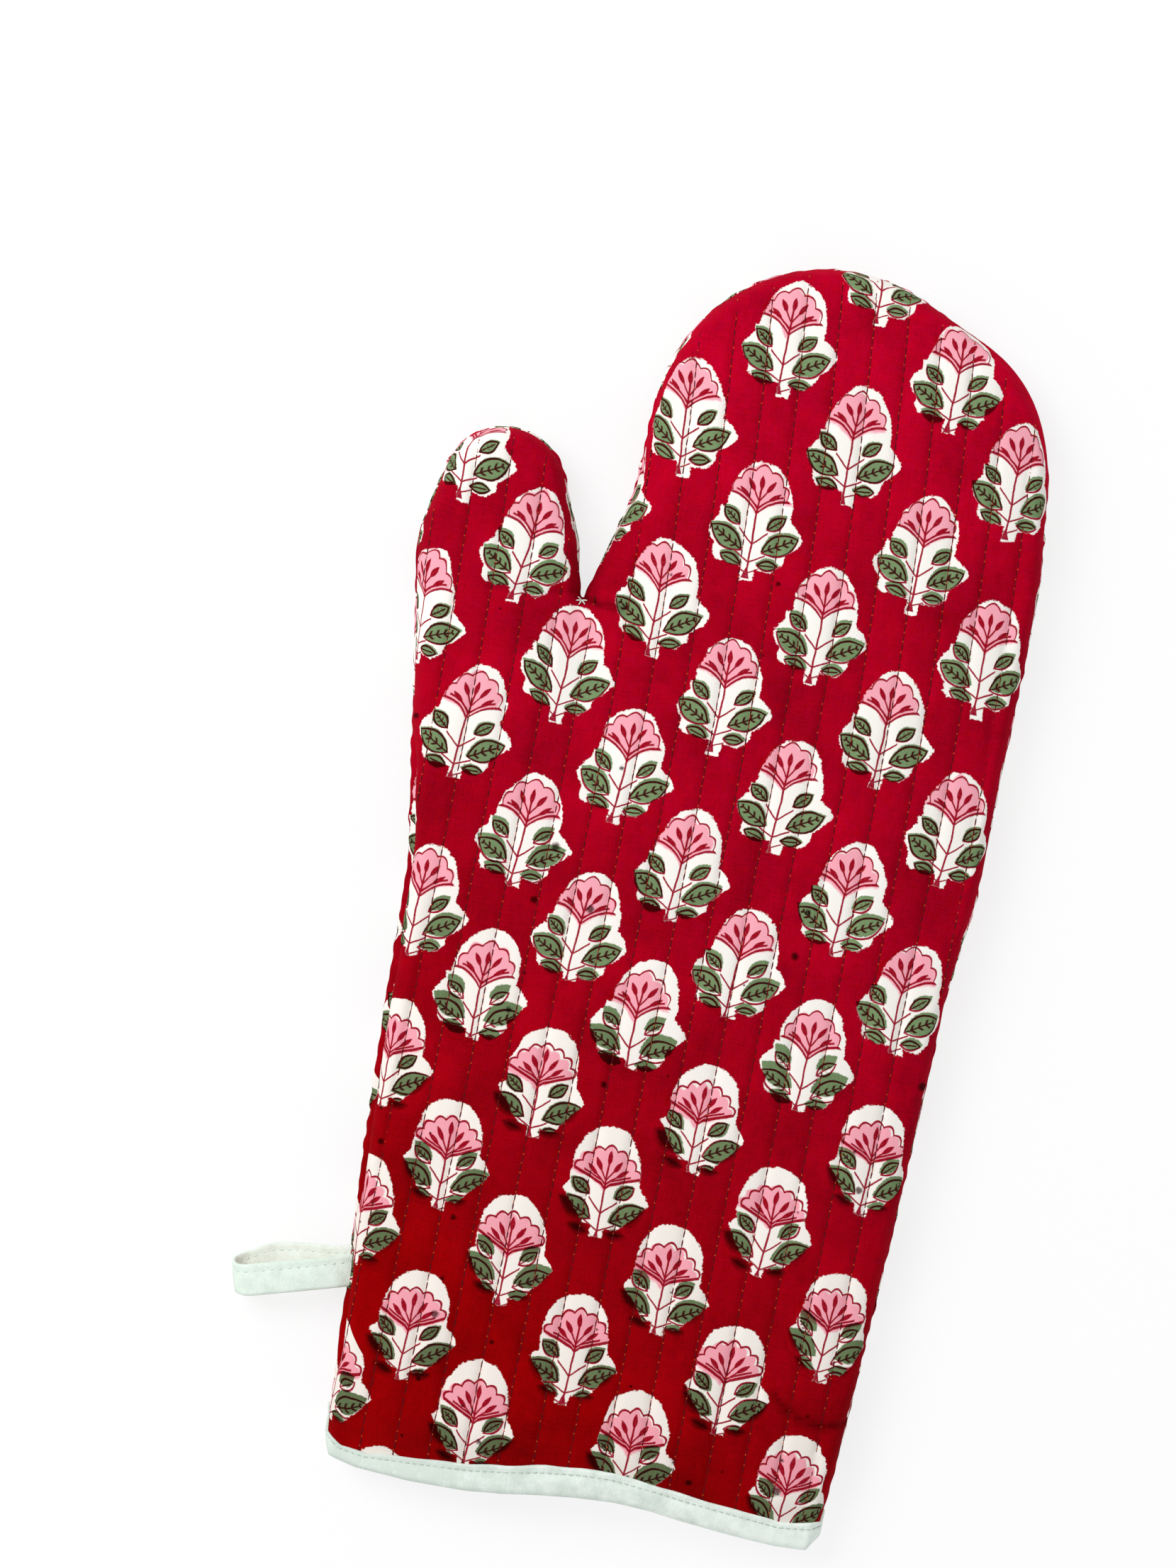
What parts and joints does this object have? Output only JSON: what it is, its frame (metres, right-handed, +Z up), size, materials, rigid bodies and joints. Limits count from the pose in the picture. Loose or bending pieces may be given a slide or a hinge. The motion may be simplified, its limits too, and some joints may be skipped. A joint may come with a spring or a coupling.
{
  "type": "oven mitt",
  "caption": "Quilted cotton oven mitt with a thumb, a bound cuff and a hanging loop, lying flat on its back panel.",
  "frame": {"origin": "centre of the whole mitt's box, on the surface it lies on", "axes": "+Z up out of the front panel, +Y from the cuff to the fingertips, +X away from the thumb"},
  "size_m": [0.177, 0.3408, 0.0237],
  "materials": {
    "printed_cotton": "hand-block-printed plain-weave cotton, quilted, matt",
    "wadding": "needled cotton wadding, matt",
    "lining_cotton": "plain-weave cotton, matt",
    "quilting_thread": "spun thread, running stitch",
    "seam_thread": "spun thread, lock stitch",
    "binding_cotton": "folded plain-weave cotton, matt",
    "binding_thread": "spun thread, lock stitch",
    "loop_tape": "folded and edge-stitched plain-weave cotton, matt"
  },
  "bodies": {
    "mitt": {"outer_front": "printed_cotton", "outer_back": "printed_cotton", "wadding_front": "wadding", "wadding_back": "wadding", "lining_front": "lining_cotton", "lining_back": "lining_cotton", "quilting_thread_front": "quilting_thread", "quilting_thread_back": "quilting_thread", "side_seam_thread": "seam_thread", "cuff_binding": "binding_cotton", "binding_thread": "binding_thread"},
    "loop": {"hanging_loop": "loop_tape", "loop_thread": "binding_thread"}
  },
  "joints": [
    {"name": "loop_swing", "type": "hinge", "parent": "mitt", "child": "loop", "pos_m": [-0.05856, -0.12165, 0.01], "axis": [-0.0886, 0.9961, 0], "range_deg": [0, 110]}
  ]
}
